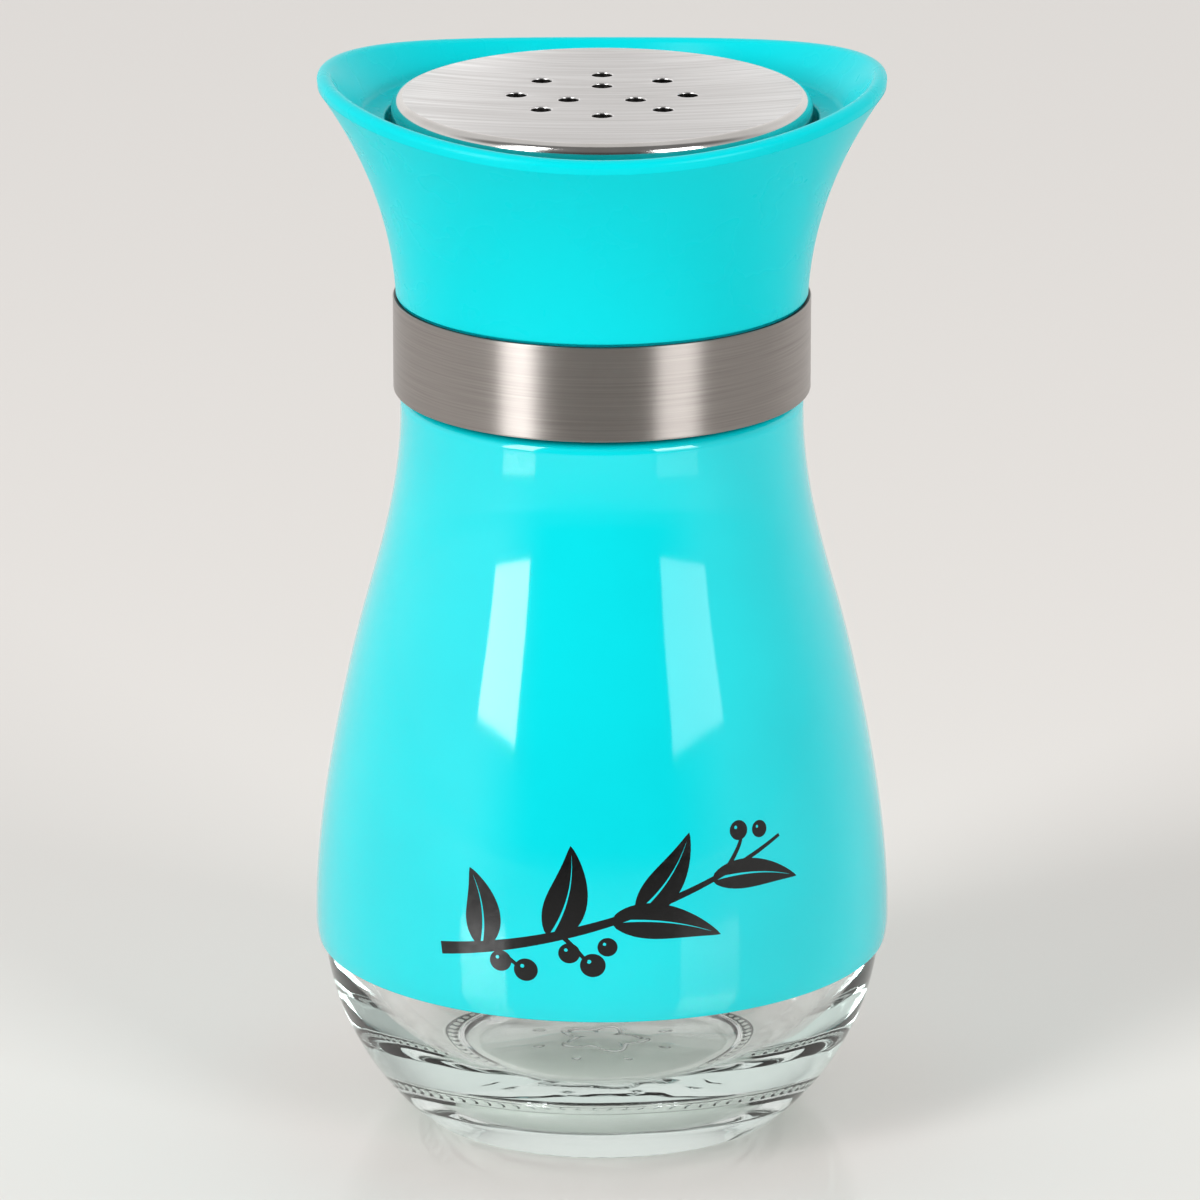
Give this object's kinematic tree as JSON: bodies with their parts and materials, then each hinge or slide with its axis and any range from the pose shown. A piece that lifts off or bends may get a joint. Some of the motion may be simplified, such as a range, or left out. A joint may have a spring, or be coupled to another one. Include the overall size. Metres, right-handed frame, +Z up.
{
  "type": "table spice shaker",
  "caption": "Round glass table shaker in an enamelled steel sleeve, with a flared screw cap, a brushed steel band and a pierced steel pouring plate.",
  "frame": {"origin": "centre of the circle that the jar stands on, on the surface", "axes": "+Z up along the jar's axis; the two high ears of the rim lie on +X and -X; the low front of the rim faces -Y"},
  "size_m": [0.0684, 0.0684, 0.1266],
  "materials": {
    "clear_glass": "polished soda-lime glass with a faint grey-green tint",
    "turquoise_enamel": "gloss baked enamel on thin steel",
    "turquoise_plastic": "moulded, semi-gloss",
    "brushed_steel": "fine straight brushing",
    "white_plastic": "natural moulded polypropylene",
    "liner_foam": "closed-cell foam",
    "black_rubber": "matt",
    "clear_silicone": "translucent bead"
  },
  "bodies": {
    "base": {"glass_jar": "clear_glass", "body_sleeve": "turquoise_enamel", "shoulder_gasket": "black_rubber", "bond_bead": "clear_silicone"},
    "liner": {"cap_liner": "liner_foam"},
    "cap": {"cap_core": "white_plastic", "shaker_plate": "brushed_steel", "neck_band": "brushed_steel", "flared_collar": "turquoise_plastic"}
  },
  "joints": [
    {"name": "cap_rise", "type": "slide", "parent": "base", "child": "liner", "axis": [0, 0, 1], "range_m": [0, 0.0127]},
    {"name": "cap_turn", "type": "hinge", "parent": "liner", "child": "cap", "pos_m": [0, 0, 0.1], "axis": [0, 0, 1], "range_deg": [0, 1080]}
  ],
  "couplings": [
    {"joint": "cap_rise", "follows": "cap_turn", "m_per_rad": 0.00067373}
  ]
}
